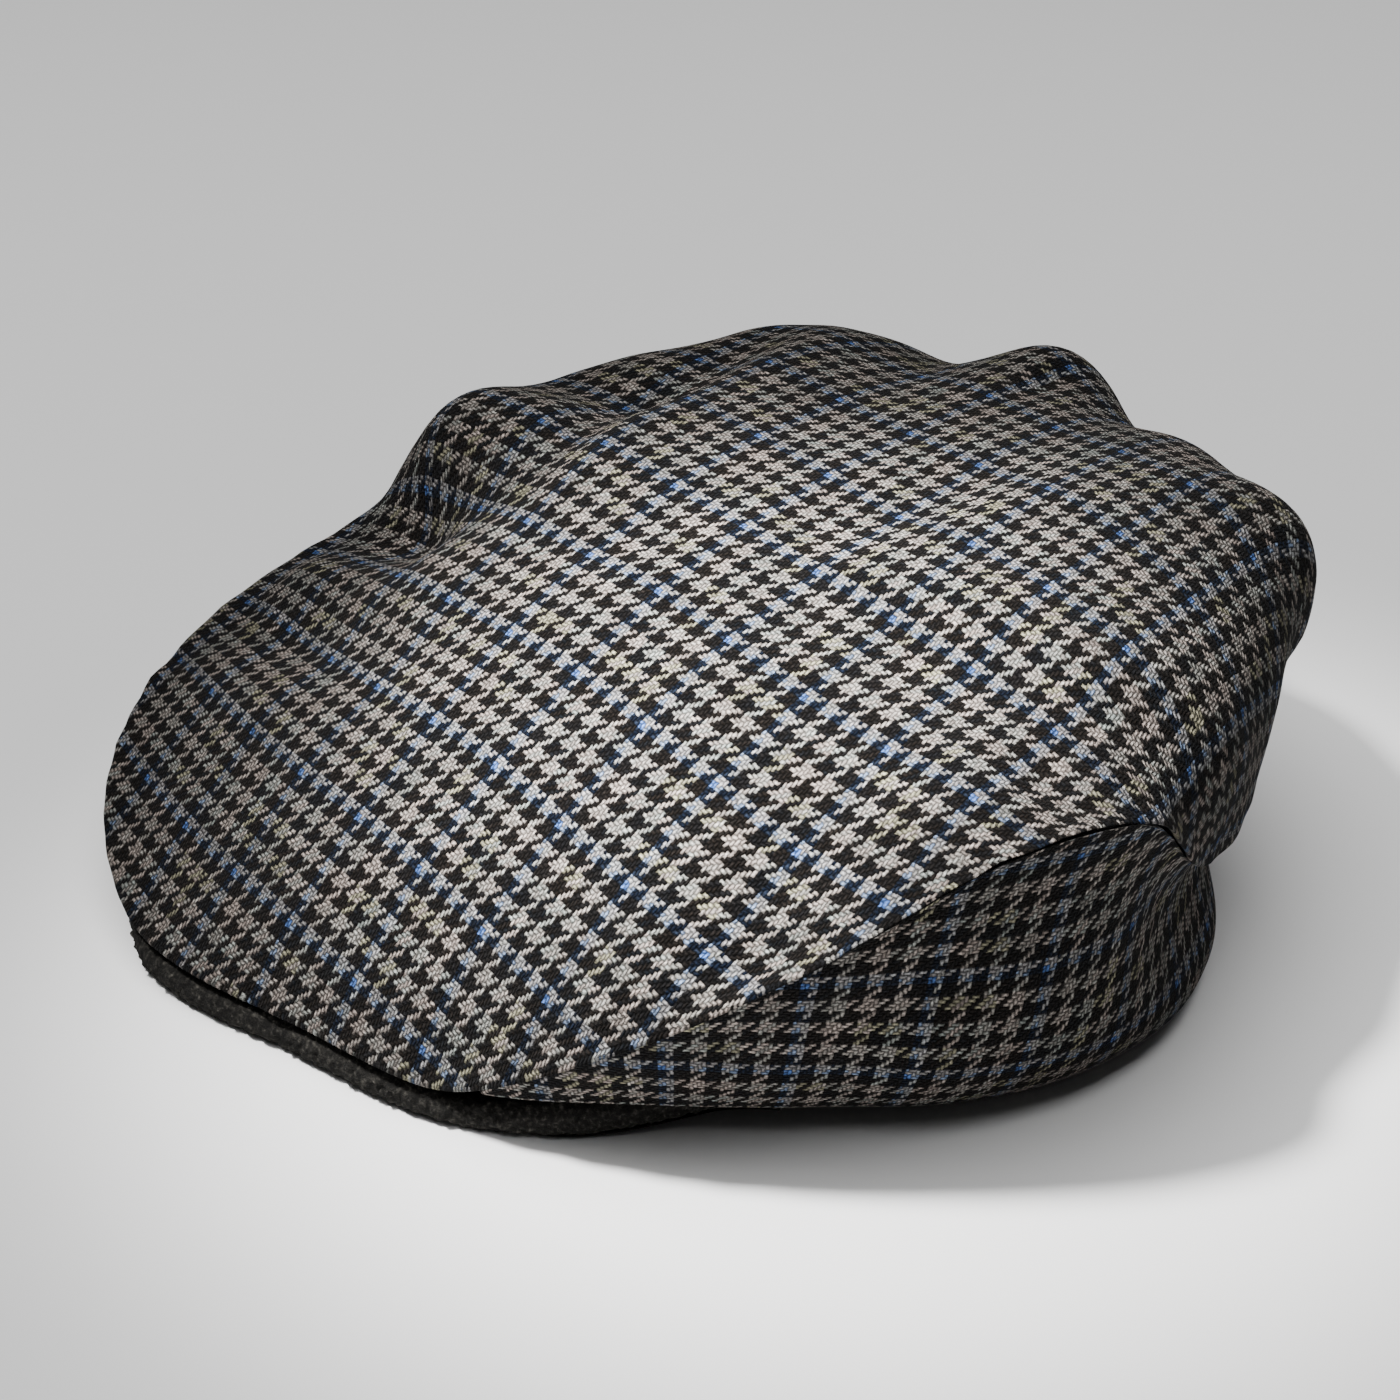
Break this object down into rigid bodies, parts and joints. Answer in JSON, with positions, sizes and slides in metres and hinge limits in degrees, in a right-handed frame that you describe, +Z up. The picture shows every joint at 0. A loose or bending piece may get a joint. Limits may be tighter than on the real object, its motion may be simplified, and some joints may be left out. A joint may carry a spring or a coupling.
{
  "type": "flat cap",
  "caption": "Soft tweed flat cap: a one-piece top panel run out over a short stiff peak, side panels and an open head hollow.",
  "frame": {"origin": "on the surface the cap rests on, under the middle of its box", "axes": "+Z up, the peak towards -Y, the wearer's left towards +X"},
  "size_m": [0.2612, 0.2646, 0.0987],
  "materials": {
    "tweed_top": "soft woollen houndstooth with a blue overcheck",
    "tweed_side": "soft woollen houndstooth with a blue overcheck",
    "tweed_peak": "dark brushed wool over a stiff core"
  },
  "bodies": {
    "root": {"crown_top": "tweed_top", "side_left": "tweed_side", "side_right": "tweed_side", "peak": "tweed_peak"}
  },
  "joints": []
}
